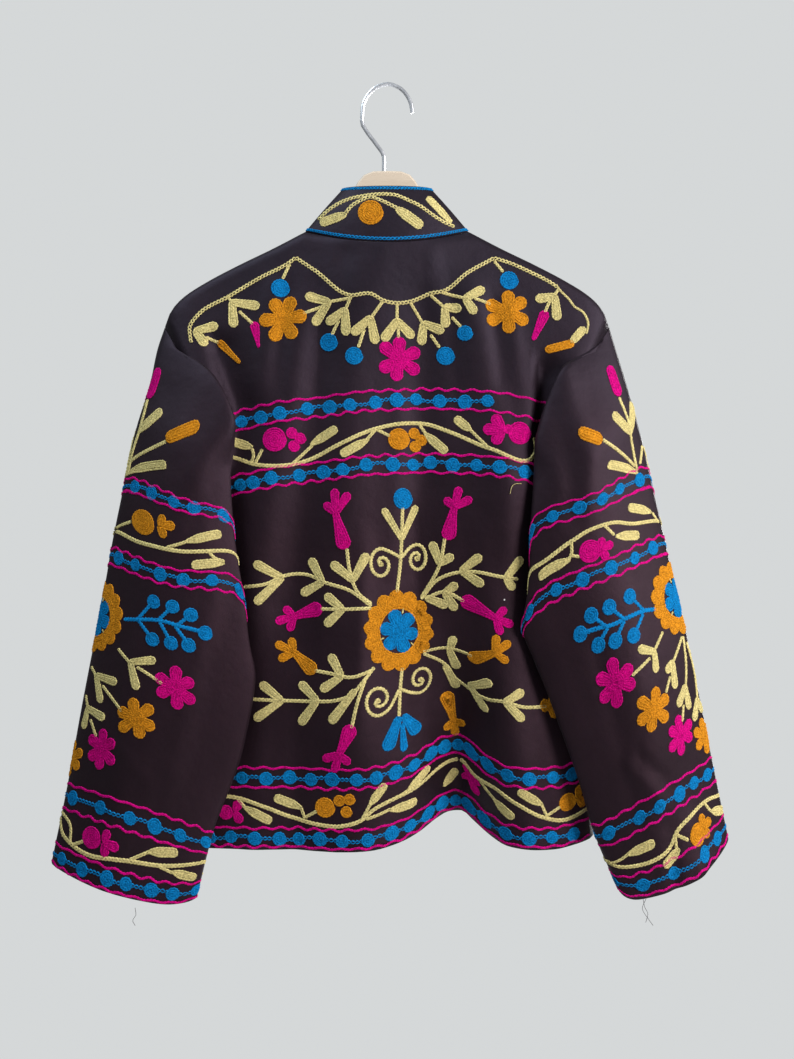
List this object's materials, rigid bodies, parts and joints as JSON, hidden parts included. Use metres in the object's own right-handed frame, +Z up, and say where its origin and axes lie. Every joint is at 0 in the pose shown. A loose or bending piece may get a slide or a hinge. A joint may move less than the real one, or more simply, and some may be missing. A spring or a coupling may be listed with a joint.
{
  "type": "jacket on hanger",
  "caption": "Short boxy jacket in dark cotton with a stand collar and wide straight sleeves, embroidered with bright flowers, leaves and beaded lines, on a wooden hanger with a wire hook.",
  "frame": {"origin": "inside top of the hanger's hook, where the rail or wall hook carries it", "axes": "+Z up, +X to the right as seen from the jacket's back, -Y out of the jacket's back, which the picture shows"},
  "size_m": [0.67, 0.1131, 0.8099],
  "materials": {
    "cotton": "matt dark aubergine cotton with coloured chain stitch",
    "wood": "light satin wood",
    "chrome": "polished"
  },
  "bodies": {
    "root": {"back": "cotton", "front_left": "cotton", "front_right": "cotton", "sleeve_left": "cotton", "sleeve_right": "cotton", "collar": "cotton", "hanger_bar": "wood", "hanger_hook": "chrome"}
  },
  "joints": []
}
